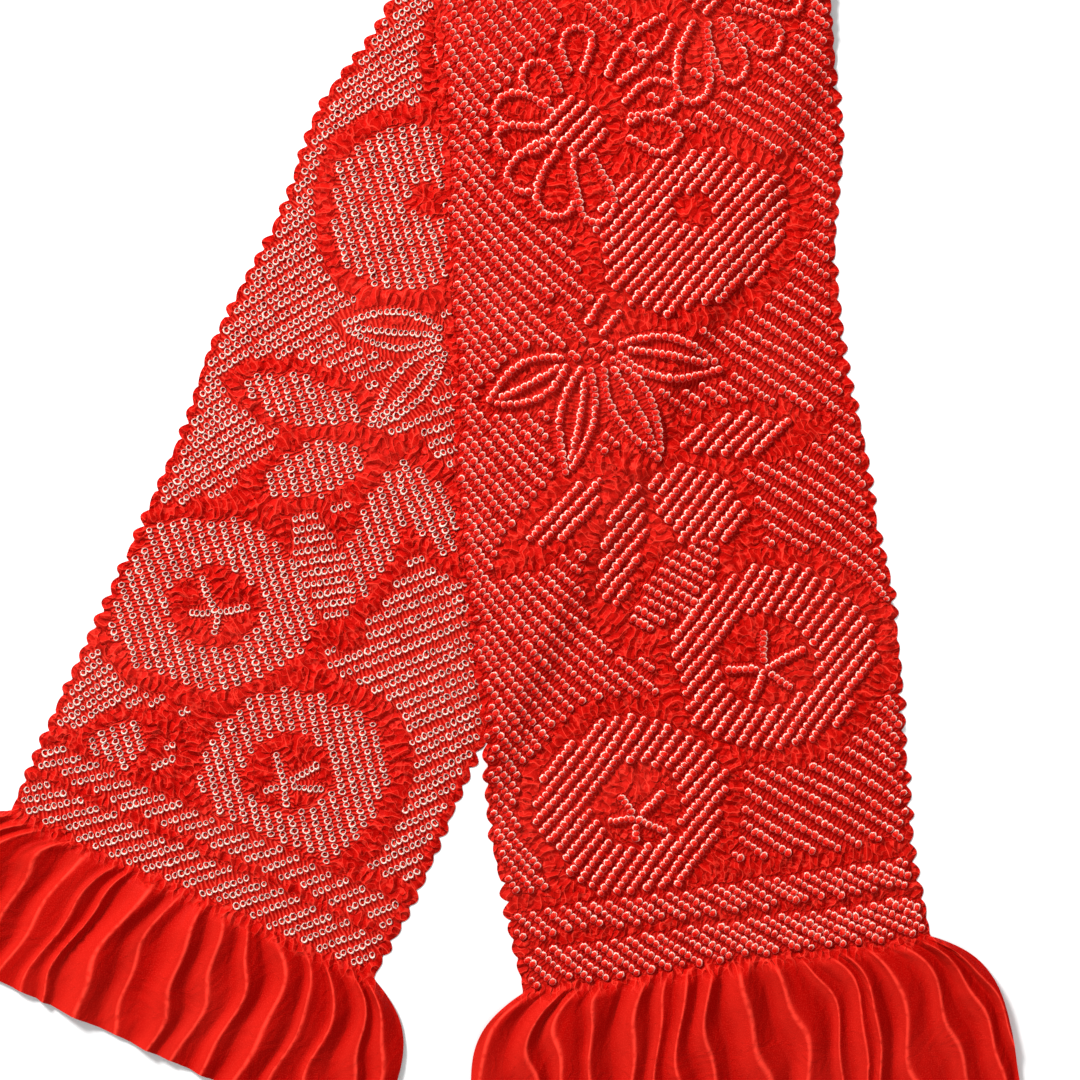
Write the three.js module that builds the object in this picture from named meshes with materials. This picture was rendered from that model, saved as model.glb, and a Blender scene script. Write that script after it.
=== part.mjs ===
// A silk obiage, the scarf worn above a kimono's sash, dyed all over with small tied points.
// The tying has drawn the silk in to a narrow, thick, springy band with scalloped selvedges.
// The band is folded once across its middle, and its two ends spread apart over the surface:
// the end on top shows the cloth's face, and the end under it shows the reverse.
// Past the last tied rows each end is plain silk, which springs out wide in soft folds.
// Units are millimetres. +Y points to the fold, +Z up, and z = 0 is the surface it lies on.

import * as THREE from 'three';

// Driving dimensions, in millimetres and degrees.
const clothThickness = 3;
const layerClearance = 1;
const puffHeight = 1.2;
const puffLength = 34;
const puffWidth = 44;
const puffSway = 2;
const restingShare = 0.55;
const foldPlace = { x: 119.1, y: 371.176 };
const foldLoopRadius = 4.5;
const foldRelaxLength = 45;
const scallopPitch = 9.2;
const scallopDepth = 1.9;
const scallopFullness = 0.7;
const plainEndLength = 70;
const flareWidth = 30;
const flareLength = 12.5;
const frillStart = -3;
const frillRise = 20;
const frillFade = 0.3;
const frillSway = 0.03;
const frillSwayLength = 19;
const drapeStart = 2;
const drapeEnd = 18;

// How finely the surface is divided.
const bandColumns = 10;
const edgeStepsPerScallop = 3;
const endColumns = 22;
const endRows = 11;
const loopSteps = 8;
const pathStep = 1;
const searchSteps = 4;

const surfaceHeight = clothThickness + (1 - restingShare) * puffHeight + layerClearance;
const degree = Math.PI / 180;

// Each leg runs from the fold to a plain end. Lean is the heading's turn from -Y towards -X.
const upperLeg = {
  bandLength: 678,
  leans: [
    { along: 0, lean: 10 },
    { along: 187, lean: 10 },
    { along: 282, lean: -5 },
    { along: 500, lean: -5 },
    { along: 640, lean: -8 },
    { along: 760, lean: -8 },
  ],
  halfWidths: [
    { along: 0, left: 87, right: 87 },
    { along: 190, left: 86, right: 86 },
    { along: 280, left: 87.5, right: 87 },
    { along: 312, left: 88.5, right: 87.7 },
    { along: 375, left: 91, right: 79.6 },
    { along: 400, left: 92.5, right: 80 },
    { along: 480, left: 96.4, right: 87.3 },
    { along: 525, left: 95, right: 92.5 },
    { along: 555, left: 93.4, right: 92.5 },
    { along: 605, left: 96, right: 90 },
    { along: 640, left: 94, right: 88 },
    { along: 678, left: 91.5, right: 90 },
  ],
  endFolds: [
    { place: -0.86, width: 0.09, height: 2.6 },
    { place: -0.6, width: 0.07, height: 4.2 },
    { place: -0.4, width: 0.06, height: 3.2 },
    { place: -0.2, width: 0.08, height: 4.8 },
    { place: 0.04, width: 0.07, height: 3.4 },
    { place: 0.26, width: 0.08, height: 5 },
    { place: 0.5, width: 0.07, height: 3.6 },
    { place: 0.74, width: 0.1, height: 5.4 },
    { place: 0.96, width: 0.06, height: 2.4 },
  ],
};
const lowerLeg = {
  bandLength: 688,
  leans: [
    { along: 0, lean: 10 },
    { along: 187, lean: 10 },
    { along: 282, lean: 24.8 },
    { along: 770, lean: 24.8 },
  ],
  halfWidths: [
    { along: 0, left: 87, right: 87 },
    { along: 187, left: 84, right: 87 },
    { along: 300, left: 89.5, right: 89 },
    { along: 352, left: 98, right: 89 },
    { along: 398, left: 94, right: 88 },
    { along: 462, left: 97, right: 87 },
    { along: 510, left: 92.5, right: 86 },
    { along: 570, left: 92, right: 85.8 },
    { along: 648, left: 92, right: 87.5 },
    { along: 688, left: 91, right: 85.5 },
  ],
  endFolds: [
    { place: -0.95, width: 0.06, height: 2.6 },
    { place: -0.72, width: 0.1, height: 4.6 },
    { place: -0.44, width: 0.07, height: 3.6 },
    { place: -0.2, width: 0.08, height: 5.2 },
    { place: 0.05, width: 0.1, height: 5.4 },
    { place: 0.3, width: 0.06, height: 3.4 },
    { place: 0.5, width: 0.07, height: 4.6 },
    { place: 0.78, width: 0.11, height: 4.2 },
  ],
};

function smooth(from, to, value) {
  const share = Math.min(1, Math.max(0, (value - from) / (to - from)));
  return share * share * (3 - 2 * share);
}

// Reads one column of a table at a distance, easing from each row to the next.
function readTable(table, column, along) {
  for (let row = 1; row < table.length; row += 1) {
    const before = table[row - 1];
    const after = table[row];
    if (along <= after.along) {
      const share = smooth(before.along, after.along, along);
      return before[column] + (after[column] - before[column]) * share;
    }
  }
  return table[table.length - 1][column];
}

// A repeatable value from 0 to 1 for a whole number, so that no two scallops are alike.
function unevenness(number) {
  const wave = Math.sin(number * 12.9898 + 4.1) * 43758.5453;
  return wave - Math.floor(wave);
}

// The leg's middle line, walked out from the fold in small steps.
function walkPath(leg) {
  const points = [];
  const length = leg.bandLength + plainEndLength;
  let x = foldPlace.x;
  let y = foldPlace.y;
  for (let along = 0; along <= length + pathStep; along += pathStep) {
    const lean = readTable(leg.leans, 'lean', along) * degree;
    const forward = { x: -Math.sin(lean), y: -Math.cos(lean) };
    points.push({ x, y, forward, side: { x: -forward.y, y: forward.x } });
    x += forward.x * pathStep;
    y += forward.y * pathStep;
  }
  return points;
}

function pathPoint(leg, along) {
  const place = Math.min(Math.max(along / pathStep, 0), leg.path.length - 1.001);
  const index = Math.floor(place);
  const share = place - index;
  const before = leg.path[index];
  const after = leg.path[index + 1];
  return {
    x: before.x + (after.x - before.x) * share,
    y: before.y + (after.y - before.y) * share,
    forward: before.forward,
    side: before.side,
  };
}

// Half the cloth's width on one side: the table, the selvedge's scallops and the end's flare.
function halfWidth(leg, along, toRight) {
  const past = along - leg.bandLength;
  const base = readTable(leg.halfWidths, toRight ? 'right' : 'left', along);
  if (past >= 0) {
    return base + flareWidth * (1 - Math.exp(-past / flareLength));
  }
  const count = along / scallopPitch;
  const bulge = Math.abs(Math.sin(Math.PI * count)) ** scallopFullness - scallopFullness;
  const depth = scallopDepth * (0.5 + unevenness(Math.floor(count) + (toRight ? 400 : 0)));
  return base + depth * bulge * smooth(0, 2 * scallopPitch, -past);
}

// Soft lifts left by the gathering, one broad swell crossing another.
function puff(along, across) {
  const swell = Math.sin((2 * Math.PI * along) / puffLength + puffSway * Math.sin(across / puffWidth));
  const cross = Math.sin((2 * Math.PI * across) / puffWidth + puffSway * Math.sin(along / puffLength));
  return puffHeight * Math.max(0, 0.5 + 0.5 * swell * cross);
}

// The folds that stand in a plain end, from the last tied rows out to the hem.
function frill(leg, along, share) {
  const past = along - leg.bandLength;
  const fade = 1 - frillFade * smooth(plainEndLength / 2, plainEndLength, past);
  let height = 0;
  for (const fold of leg.endFolds) {
    const drift = frillSway * Math.sin(past / frillSwayLength + 9 * fold.place);
    height += fold.height * Math.exp(-(((share - fold.place + drift) / fold.width) ** 2));
  }
  return height * fade * smooth(frillStart, frillRise, past);
}

// How far a point in plan lies outside the lower leg's edge. Inside it, the value is negative.
function outsideLowerLeg(x, y) {
  let best = Infinity;
  for (let index = 0; index < lowerLeg.path.length; index += searchSteps) {
    const point = lowerLeg.path[index];
    const dx = x - point.x;
    const dy = y - point.y;
    const across = dx * point.side.x + dy * point.side.y;
    const ahead = dx * point.forward.x + dy * point.forward.y;
    if (Math.abs(ahead) < searchSteps * pathStep) {
      const width = readTable(lowerLeg.halfWidths, across > 0 ? 'right' : 'left', index * pathStep);
      best = Math.min(best, Math.abs(across) - width - scallopDepth / 2);
    }
  }
  return best;
}

// The height of the cloth's underside over a place on a leg.
function undersideHeight(leg, along, x, y, across, share) {
  const swell = puff(along + (leg === upperLeg ? 0 : 500), across) - restingShare * puffHeight;
  const lift = Math.max(0, swell) + frill(leg, along, share);
  if (leg === lowerLeg) {
    return lift;
  }
  const onTop = 1 - smooth(drapeStart, drapeEnd, outsideLowerLeg(x, y));
  const loopTop = 2 * foldLoopRadius - surfaceHeight;
  const nearFold = loopTop * (1 - smooth(foldLoopRadius, foldRelaxLength, along));
  return lift + surfaceHeight * onTop + nearFold;
}

// The cloth's outer and inner points at a share of its width, from -1 at the left edge to 1.
function legPoints(leg, along, share) {
  const middle = pathPoint(leg, along);
  const across = share * halfWidth(leg, along, share > 0);
  const x = middle.x + middle.side.x * across;
  const y = middle.y + middle.side.y * across;
  const low = undersideHeight(leg, along, x, y, across, share);
  const bottom = new THREE.Vector3(x, y, low);
  const top = new THREE.Vector3(x, y, low + clothThickness);
  return leg === upperLeg ? { outer: top, inner: bottom } : { outer: bottom, inner: top };
}

// The turn of the fold, where the upper leg's face rolls over to become the lower leg's underside.
function loopPoints(turn, share) {
  const middle = pathPoint(upperLeg, 0);
  const across = share * halfWidth(upperLeg, 0, share > 0);
  const point = (radius) => {
    const ahead = foldLoopRadius - radius * Math.sin(turn);
    return new THREE.Vector3(
      middle.x + middle.side.x * across + middle.forward.x * ahead,
      middle.y + middle.side.y * across + middle.forward.y * ahead,
      clothThickness / 2 + foldLoopRadius + radius * Math.cos(turn),
    );
  };
  return {
    outer: point(foldLoopRadius + clothThickness / 2),
    inner: point(foldLoopRadius - clothThickness / 2),
  };
}

// Collects the cloth's points, and faces as triangles of point numbers on the outer side.
const stock = { outer: [], inner: [], faces: [] };

function addPoint(points) {
  stock.outer.push(points.outer);
  stock.inner.push(points.inner);
  return stock.outer.length - 1;
}

// Joins two lines of points with triangles, stepping along whichever line lags behind.
function zip(near, far, flip) {
  let n = 0;
  let f = 0;
  while (n < near.length - 1 || f < far.length - 1) {
    const nearNext = n < near.length - 1 ? near[n + 1].at : Infinity;
    const farNext = f < far.length - 1 ? far[f + 1].at : Infinity;
    const corners = [near[n].id, far[f].id];
    if (nearNext <= farNext) {
      n += 1;
      corners.push(near[n].id);
    } else {
      f += 1;
      corners.push(far[f].id);
    }
    stock.faces.push(flip ? corners : [corners[0], corners[2], corners[1]]);
  }
}

function rowOf(leg, along, columns) {
  const row = [];
  for (let column = 0; column <= columns; column += 1) {
    const share = (2 * column) / columns - 1;
    row.push({ at: share, id: addPoint(legPoints(leg, along, share)) });
  }
  return row;
}

// A plain end's rows of points, from its hem to the last tied rows.
function buildPlainEnd(leg, flip) {
  const rows = [];
  for (let step = 0; step <= endRows; step += 1) {
    const past = plainEndLength * (1 - step / endRows);
    rows.push(rowOf(leg, leg.bandLength + past, endColumns));
    if (step > 0) {
      zip(rows[step - 1], rows[step], flip);
    }
  }
  return rows;
}

// The places along the tied band from one plain end, round the fold, to the other.
// The ends' own last rows stand at the two outermost places, so those are left out here.
function bandStations() {
  const stations = [];
  const span = (leg) => leg.bandLength - foldLoopRadius;
  const count = (leg) => Math.round(span(leg) / scallopPitch);
  const addLeg = (leg, outward) => {
    const steps = count(leg);
    for (let step = 1; step <= steps; step += 1) {
      const part = outward ? step : steps - step;
      stations.push({ leg, along: foldLoopRadius + (span(leg) * part) / steps });
    }
  };
  addLeg(upperLeg, false);
  for (let step = 1; step <= loopSteps; step += 1) {
    stations.push({ turn: (Math.PI * step) / loopSteps });
  }
  addLeg(lowerLeg, true);
  stations.pop();
  return stations;
}

function stationPoints(station, share) {
  return station.leg ? legPoints(station.leg, station.along, share) : loopPoints(station.turn, share);
}

// One lengthwise line of the band. The two edge lines have extra points for the scallops.
function bandLine(stations, share, extraSteps) {
  const line = [];
  stations.forEach((station, number) => {
    const previous = stations[number - 1];
    if (number > 0 && station.leg && previous.leg === station.leg) {
      for (let extra = 1; extra < extraSteps; extra += 1) {
        const part = extra / extraSteps;
        const along = previous.along + (station.along - previous.along) * part;
        line.push({ at: number - 1 + part, id: addPoint(legPoints(station.leg, along, share)) });
      }
    }
    line.push({ at: number, id: addPoint(stationPoints(station, share)) });
  });
  return line;
}

function buildBand() {
  const stations = bandStations();
  const lines = [];
  for (let column = 0; column <= bandColumns; column += 1) {
    const onEdge = column === 0 || column === bandColumns;
    const share = (2 * column) / bandColumns - 1;
    lines.push(bandLine(stations, share, onEdge ? edgeStepsPerScallop : 1));
    if (column > 0) {
      zip(lines[column - 1], lines[column], true);
    }
  }
  const across = (place) => lines.map((line, column) => (
    { at: (2 * column) / bandColumns - 1, id: line.at(place).id }
  ));
  return { lines, first: across(0), last: across(-1) };
}

// The rim's points in order, from the upper hem's left corner round the whole cloth.
function rimLoop(upperEnd, band, lowerEnd) {
  const ids = (line) => line.map((point) => point.id);
  const leftSide = upperEnd.map((row) => row[0].id);
  const rightSide = upperEnd.map((row) => row.at(-1).id);
  const farLeft = lowerEnd.map((row) => row[0].id);
  const farRight = lowerEnd.map((row) => row.at(-1).id);
  return [
    ...leftSide,
    ...ids(band.lines[0]),
    ...farLeft.toReversed(),
    ...ids(lowerEnd[0]).slice(1, -1),
    ...farRight,
    ...ids(band.lines.at(-1)).toReversed(),
    ...rightSide.toReversed(),
    ...ids(upperEnd[0]).slice(1, -1).toReversed(),
  ];
}

function buildClothGeometry() {
  const upperEnd = buildPlainEnd(upperLeg, false);
  const band = buildBand();
  const lowerEnd = buildPlainEnd(lowerLeg, true);
  zip(upperEnd.at(-1), band.first, false);
  zip(band.last, lowerEnd.at(-1), false);
  const rim = rimLoop(upperEnd, band, lowerEnd);
  const shift = stock.outer.length;
  const triangles = [];
  for (const [a, b, c] of stock.faces) {
    triangles.push(a, b, c, a + shift, c + shift, b + shift);
  }
  rim.forEach((id, place) => {
    const next = rim[(place + 1) % rim.length];
    triangles.push(id, next, id + shift, next, next + shift, id + shift);
  });
  const geometry = new THREE.BufferGeometry().setFromPoints([...stock.outer, ...stock.inner]);
  geometry.setIndex(triangles);
  geometry.computeVertexNormals();
  return geometry;
}

upperLeg.path = walkPath(upperLeg);
lowerLeg.path = walkPath(lowerLeg);

const redSilk = new THREE.MeshStandardMaterial({ color: 0xc8190f, roughness: 0.55, metalness: 0 });
const cloth = new THREE.Mesh(buildClothGeometry(), redSilk);
cloth.name = 'obiage_cloth';

const obiage = new THREE.Group();
obiage.add(cloth);

export default obiage;
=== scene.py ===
# A silk obiage dyed all over with small tied points, folded once and laid out flat.
# The tail on top shows the cloth's face, and the tail under it shows the reverse.
# Sizes and places are in millimetres, and are turned into metres where a mesh is made.
# A tail's own places are its distance along from the fold and its distance across from the middle.

import math

import bpy
import numpy as np
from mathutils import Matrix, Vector, kdtree


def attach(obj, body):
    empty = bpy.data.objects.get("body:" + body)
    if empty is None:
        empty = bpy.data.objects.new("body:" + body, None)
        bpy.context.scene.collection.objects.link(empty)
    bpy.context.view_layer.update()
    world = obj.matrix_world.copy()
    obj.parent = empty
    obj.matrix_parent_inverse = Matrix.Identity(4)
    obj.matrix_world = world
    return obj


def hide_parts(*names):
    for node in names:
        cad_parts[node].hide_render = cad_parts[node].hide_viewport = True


MM = 0.001
SEED = 7

# The upper tail lies at the surface level on the lower one, and drops to the floor beside it.
SURFACE_LEVEL = 4.1
FOLD_PLACE = (119.1, 371.176)
FOLD_RADIUS = 4.5
FOLD_MIDDLE = 6.0
MIDDLE_LEVEL = 1.5
FOLD_RELAX = 45.0
DRAPE_START = 2.0
DRAPE_END = 18.0

# The plain ends, which flare and are gathered.
PLAIN_END = 70.0
FLARE_WIDTH = 30.0
FLARE_LENGTH = 12.5
END_FOLDS = 17

# Tied points: their pitch, the step between a motif's rows, and the plain gaps round motifs.
POINT_PITCH = 2.9
OUTLINE_PITCH = POINT_PITCH * 0.95
RAY_PITCH = 2.4
MOTIF_STEP = 4.95
MOTIF_CLEARANCE = 6.0
OUTLINE_CLEARANCE = 5.0
BLOSSOM_CLEARANCE = 34.0
EDGE_MARGIN = 3.4
CLOSEST_POINTS = 2.1
LONELY_GAP = 4.2
NO_HOLLOW = 1000.0
COVERED_MARGIN = 12.0

# The borders, as distances back from the last tied point.
BAND_ONE = (34.0, 22.5)
BAND_TWO = (17.0, 1.0)
GROUND_END = 44.0

# The cloth's relief.
ROW_WIDTH = 1.15
CRINKLE_HEIGHT = 1.9
VALLEY_LEVEL = 0.3
SWELL_HEIGHT = 0.4
GAP_REACH = 3.6
SCALLOP_DEPTH = 2.5

# How finely it is made. The cloth is coarse from the fold to FINE_FROM, where the photo stops.
# A tail is about BAND_HALF wide on each side of its middle line, and the fields FIELD_HALF.
FIELD_STEP = 0.5
FIELD_HALF = 130.0
BAND_HALF = 90.0
FOLD_STEP = 0.75
FINE_STEP = 1.05
COARSE_STEP = 2.5
FINE_FROM = 275.0
COLUMNS = 175

# The camera looks straight down at the middle of the picture.
PICTURE_CENTRE = (39.3, -114.0)
PICTURE_WIDTH = 475.2
LENS = 85.0
SENSOR = 36.0
CAMERA_LIFT = 5.0

# Colours, as linear light.
SILK_RED = (0.56, 0.004, 0.002)
# Pale red for painted highlights on crests, also used for the silk's paler blotches and grain.
CREST_HIGHLIGHT_AND_GRAIN = (0.86, 0.043, 0.025)
LOOSE_RED = (0.51, 0.004, 0.002)
END_RED = (0.50, 0.009, 0.005)
# A little darker red round the face points' bases: painted shade between the points.
SKIRT_SHADE_RED = (0.50, 0.003, 0.0015)
# Dark red for painted shade in valleys, creases and the grooves between rows.
VALLEY_SHADE_RED = (0.36, 0.001, 0.0005)
# Paler red for the painted highlight on the lit side of a face point's cap.
CAP_HIGHLIGHT = (0.74, 0.04, 0.021)
# Slightly paler red between the reverse's rows: painted light on the puffs there.
REVERSE_LIT_PUFF_RED = (0.58, 0.007, 0.004)
REVERSE_RED = (0.54, 0.006, 0.004)
# Pale red for painted highlights on the reverse's pleat crests.
REVERSE_CREST_HIGHLIGHT = (0.92, 0.062, 0.036)
# Near black for painted shade in the reverse points' pits, and a lighter dark for their lit side.
PIT_SHADE = (0.09, 0.0, 0.001)
PIT_HALF_SHADE = (0.35, 0.01, 0.008)
RING_PALE = (0.98, 0.76, 0.65)

# The cloth's colours where it is gathered into rows, and how strong its small pleats are.
# Low is between the rows: painted shade in the face's grooves, and on the reverse a paler red, painted
# light on the puffs.
# High is a painted highlight on the pleats' crests, and pleat_share sets it and the painted shade in their
# creases.
FACE_SILK = {
    "low": VALLEY_SHADE_RED, "middle": SILK_RED, "high": CREST_HIGHLIGHT_AND_GRAIN,
    "pleat_share": 0.4, "pleat_height": 0.35,
}
REVERSE_SILK = {
    "low": REVERSE_LIT_PUFF_RED, "middle": REVERSE_RED, "high": REVERSE_CREST_HIGHLIGHT,
    "pleat_share": 0.9, "pleat_height": 0.75,
}

# A tied point's turned shape, as (radius, height) from its middle out.
FACE_PROFILE = [(0, 0.85), (0.8, 0.72), (1.3, 0.3), (1.65, -0.6)]
REVERSE_PROFILE = [(0, -1.0), (0.55, -0.85), (0.9, 0.3), (1.18, 0.45), (1.55, -0.5)]

# A tied point's colours. Radii say where its pale ring starts, is full, fades and ends.
# X and y point to its pale side, which is also its lit side, and which starts between from and to and is
# thicker by thick.
# Least is how pale the other side is: the ring's fading round to it is partly its real crescent shape and
# partly painted light.
# Dark and light colour the middle on its shaded and lit sides: a painted highlight on the face's caps and
# painted shade in the reverse's pits.
# Skirt colours the point outside its ring, which on the face is painted shade round its base.
UV_SPAN = 4.0
FACE_RING = {
    "radii": (1.02, 1.11, 1.26, 1.34),
    "x": 0.0, "y": 1.0, "from": -0.18, "to": 0.2, "least": 0.2, "thick": 0.35,
    "dark": SILK_RED, "light": CAP_HIGHLIGHT, "skirt": SKIRT_SHADE_RED,
}
REVERSE_RING = {
    "radii": (0.74, 0.88, 1.24, 1.38),
    "x": -0.3, "y": -0.8, "from": -0.3, "to": 0.1, "least": 0.8, "thick": 1.5,
    "dark": PIT_SHADE, "light": PIT_HALF_SHADE, "skirt": REVERSE_RED,
}

# The tails. Band is how far from the fold the tied part reaches. Tables give values by distance:
# lean, left and right by distance along, and row_angle and border_angle by distance across.
# Each broad fold of the plain end has its place across from -1 to 1, its width and its height.
UPPER = {
    "name": "upper",
    "face_up": True,
    "band": 678.0,
    "row_height": 2.0,
    "wander": 0.15,
    "size": 1.13,
    "row_step": 8.5,
    "border_step": 6.8,
    "lean": [(0, 10), (187, 10), (282, -5), (500, -5), (640, -8), (760, -8)],
    "left": [
        (0, 87), (190, 86), (280, 87.5), (312, 88.5), (375, 91), (400, 92.5),
        (480, 96.4), (525, 95), (555, 93.4), (605, 96), (640, 94), (678, 91.5),
    ],
    "right": [
        (0, 87), (190, 86), (280, 87), (312, 87.7), (375, 79.6), (400, 80),
        (480, 87.3), (525, 92.5), (555, 92.5), (605, 90), (640, 88), (678, 90),
    ],
    "row_angle": [(-95, 60), (-75, 54), (-50, 47), (-20, 44), (20, 42), (50, 38), (76, 42), (90, 60)],
    "border_angle": [(-95, 50), (-40, 43), (0, 40), (95, 32)],
    "end_folds": [
        (-0.86, 0.09, 2.6), (-0.6, 0.07, 4.2), (-0.4, 0.06, 3.2), (-0.2, 0.08, 4.8),
        (0.04, 0.07, 3.4), (0.26, 0.08, 5.0), (0.5, 0.07, 3.6), (0.74, 0.1, 5.4), (0.96, 0.06, 2.4),
    ],
}
LOWER = {
    "name": "lower",
    "face_up": False,
    "band": 688.0,
    "row_height": 0.8,
    "wander": 0.15,
    "size": 1.06,
    "row_step": 8.3,
    "border_step": 8.1,
    "lean": [(0, 10), (187, 10), (282, 24.8), (770, 24.8)],
    "left": [
        (0, 87), (187, 84), (300, 89.5), (352, 98), (398, 94), (462, 97),
        (510, 92.5), (570, 92), (648, 92), (688, 91),
    ],
    "right": [
        (0, 87), (187, 87), (300, 89), (352, 89), (398, 88), (462, 87),
        (510, 86), (570, 85.8), (648, 87.5), (688, 85.5),
    ],
    "row_angle": [(-95, -60), (-60, -55), (-20, -47), (20, -46), (60, -50), (95, -53)],
    "border_angle": [(-95, -36), (0, -42), (95, -48)],
    "end_folds": [
        (-0.95, 0.06, 2.6), (-0.72, 0.1, 4.6), (-0.44, 0.07, 3.6), (-0.2, 0.08, 5.2),
        (0.05, 0.1, 5.4), (0.3, 0.06, 3.4), (0.5, 0.07, 4.6), (0.78, 0.11, 4.2),
    ],
}

# Blossoms and leaves filled with rows, by their place in plan, half sizes, turn and the turn of their rows.
# Lobes is how many times the outline bulges. Hollow is a plain middle: its shift and its half sizes.
# Clear is the plain gap round it. Rays are lines of points out from the star, by turn and length.
UPPER_FILLED = [
    {
        "at": (106, 22), "half": (44, 35), "turn": 20, "rows": 48, "lobes": 5, "clear": 9, "step": 4.6,
        "hollow": (1, 9, 7.5, 6.5),
    },
    {"at": (51, -102), "half": (26, 9), "turn": 42, "rows": 47},
    {"at": (76, -114), "half": (29, 10), "turn": 76, "rows": 50},
    {"at": (109, -98), "half": (24, 17), "turn": -28, "rows": 52},
    {"at": (125, -68), "half": (27, 9), "turn": 6, "rows": 46},
    {"at": (98.7, -135), "half": (26, 12), "turn": 48, "rows": -30, "clear": 7},
    {
        "at": (142, -166), "half": (46, 41), "turn": 10, "rows": 53, "lobes": 5, "clear": 8.5,
        "hollow": (-2.5, -1, 21, 19.5), "star": (138.6, -171),
        "rays": [(98, 18), (178, 17), (30, 19), (-38, 15), (-110, 14)],
    },
    {
        "at": (80, -231.5), "half": (43, 41), "turn": 30, "rows": 52, "lobes": 5, "clear": 8.5,
        "hollow": (3, 1, 19, 18), "star": (81.6, -237),
        "rays": [(117, 13), (42, 17), (183, 13), (268, 10), (-24, 16)],
    },
    {"at": (98, 200), "half": (40, 36), "turn": 0, "rows": 50, "lobes": 5, "hollow": (0, 0, 15, 14)},
    {"at": (66, 150), "half": (24, 10), "turn": 60, "rows": 48},
    {"at": (150, 255), "half": (30, 12), "turn": -30, "rows": 50},
    {"at": (92, 262), "half": (28, 11), "turn": 30, "rows": 48},
    {"at": (145, 318), "half": (36, 32), "turn": 15, "rows": 52, "lobes": 5, "hollow": (2, 0, 10, 9)},
    {"at": (74, 326), "half": (26, 11), "turn": 62, "rows": 48},
]
LOWER_FILLED = [
    {
        "at": (-21, 32), "half": (33.5, 38), "turn": 0, "rows": -73, "lobes": 5, "clear": 8,
        "hollow": (11, 4, 8, 7),
    },
    {"at": (-65, -52), "half": (26, 12), "turn": -17, "rows": -70},
    {"at": (-59, -83), "half": (26, 12), "turn": 16, "rows": -74},
    {"at": (-32, -110), "half": (32, 11), "turn": 70, "rows": -72},
    {"at": (-9, -100), "half": (23, 12), "turn": -60, "rows": -66},
    {"at": (-57, -126), "half": (27, 12), "turn": -68, "rows": 10},
    {
        "at": (-106, -142), "half": (46, 39), "turn": -8, "rows": -72, "lobes": 5, "clear": 8.5,
        "hollow": (1, -2, 20, 17), "star": (-103.3, -146),
        "rays": [(124, 17), (2, 15), (186, 12), (268, 10)],
    },
    {
        "at": (-69.8, -219), "half": (42, 40), "turn": 20, "rows": -76, "lobes": 5, "clear": 11.5,
        "hollow": (-2, 2, 18.5, 17), "star": (-73.3, -222),
        "rays": [(30, 18), (-16, 17), (197, 11), (108, 14), (268, 9)],
    },
    {"at": (-155, -210), "half": (26, 11), "turn": 30, "rows": -72},
    {"at": (8, 110), "half": (30, 14), "turn": 70, "rows": -70},
]

# Blossoms drawn in outline: middle, and each petal's turn, inner reach, outer reach and width.
# Bars are straight lines across the middle: their turn, how many, the gap between them and their length.
UPPER_OUTLINED = [
    {
        "at": (55.5, 67.5),
        "petals": [
            (128, 16, 35, 14), (164, 12, 37, 14.5), (193, 10, 36, 13.5), (221, 12, 39, 15),
            (252, 10, 41, 17), (284, 10, 43, 15.5), (355, 22, 45, 15), (20, 23, 46, 14.5),
            (52, 26, 46, 12), (90, 24, 44, 13),
        ],
        "bars": (46, 5, 5.2, 24),
    },
    {
        "at": (111, 128),
        "petals": [
            (263, 14, 50, 15), (290, 14, 43, 13), (322, 16, 42, 14), (355, 16, 44, 15), (28, 16, 42, 15),
            (62, 14, 42, 14), (98, 14, 40, 14), (134, 14, 40, 15), (170, 15, 40, 14), (222, 20, 40, 12),
        ],
        "bars": (46, 4, 5.2, 20),
    },
]
# Leaves drawn in outline with a midrib: base, tip and width.
UPPER_LEAVES = [
    ((52, -35), (16, -54), 17), ((60, -36), (51, -86), 15), ((68, -33), (93, -79), 17),
    ((72, -30), (120, -38), 18),
]
LOWER_LEAVES = [
    ((-2, -23), (-49, -19), 16), ((-2, -28), (-36, -65), 15), ((4, -24), (38, -40), 15),
]
# Short straight lines of points: both ends.
UPPER_STEMS = [((47, -12), (59, -27)), ((60, -19), (68, -6)), ((66, -24), (75, -13))]

rng = np.random.default_rng(SEED)


# Small helpers.


def smooth(start, end, value):
    share = np.clip((np.asarray(value, float) - start) / (end - start), 0, 1)
    return share * share * (3 - 2 * share)


def read_table(table, where):
    """Reads a table of (place, value), easing from each row to the next."""
    places = np.array([row[0] for row in table], float)
    values = np.array([row[1] for row in table], float)
    where = np.clip(np.asarray(where, float), places[0], places[-1])
    after = np.clip(np.searchsorted(places, where), 1, len(places) - 1)
    share = smooth(0, 1, (where - places[after - 1]) / (places[after] - places[after - 1]))
    return values[after - 1] + (values[after] - values[after - 1]) * share


def blur(field, width):
    """Smooths a field by a Gaussian of that width, in millimetres."""
    rows, columns = field.shape
    pad = int(4 * width / FIELD_STEP) + 2
    wide = np.pad(field, pad, mode="edge")
    down = np.fft.fftfreq(wide.shape[0], FIELD_STEP)[:, None]
    over = np.fft.rfftfreq(wide.shape[1], FIELD_STEP)[None, :]
    keep = np.exp(-2 * (math.pi * width) ** 2 * (down**2 + over**2))
    return np.fft.irfft2(np.fft.rfft2(wide) * keep, wide.shape)[pad:pad + rows, pad:pad + columns]


# Where the tails lie.


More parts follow.
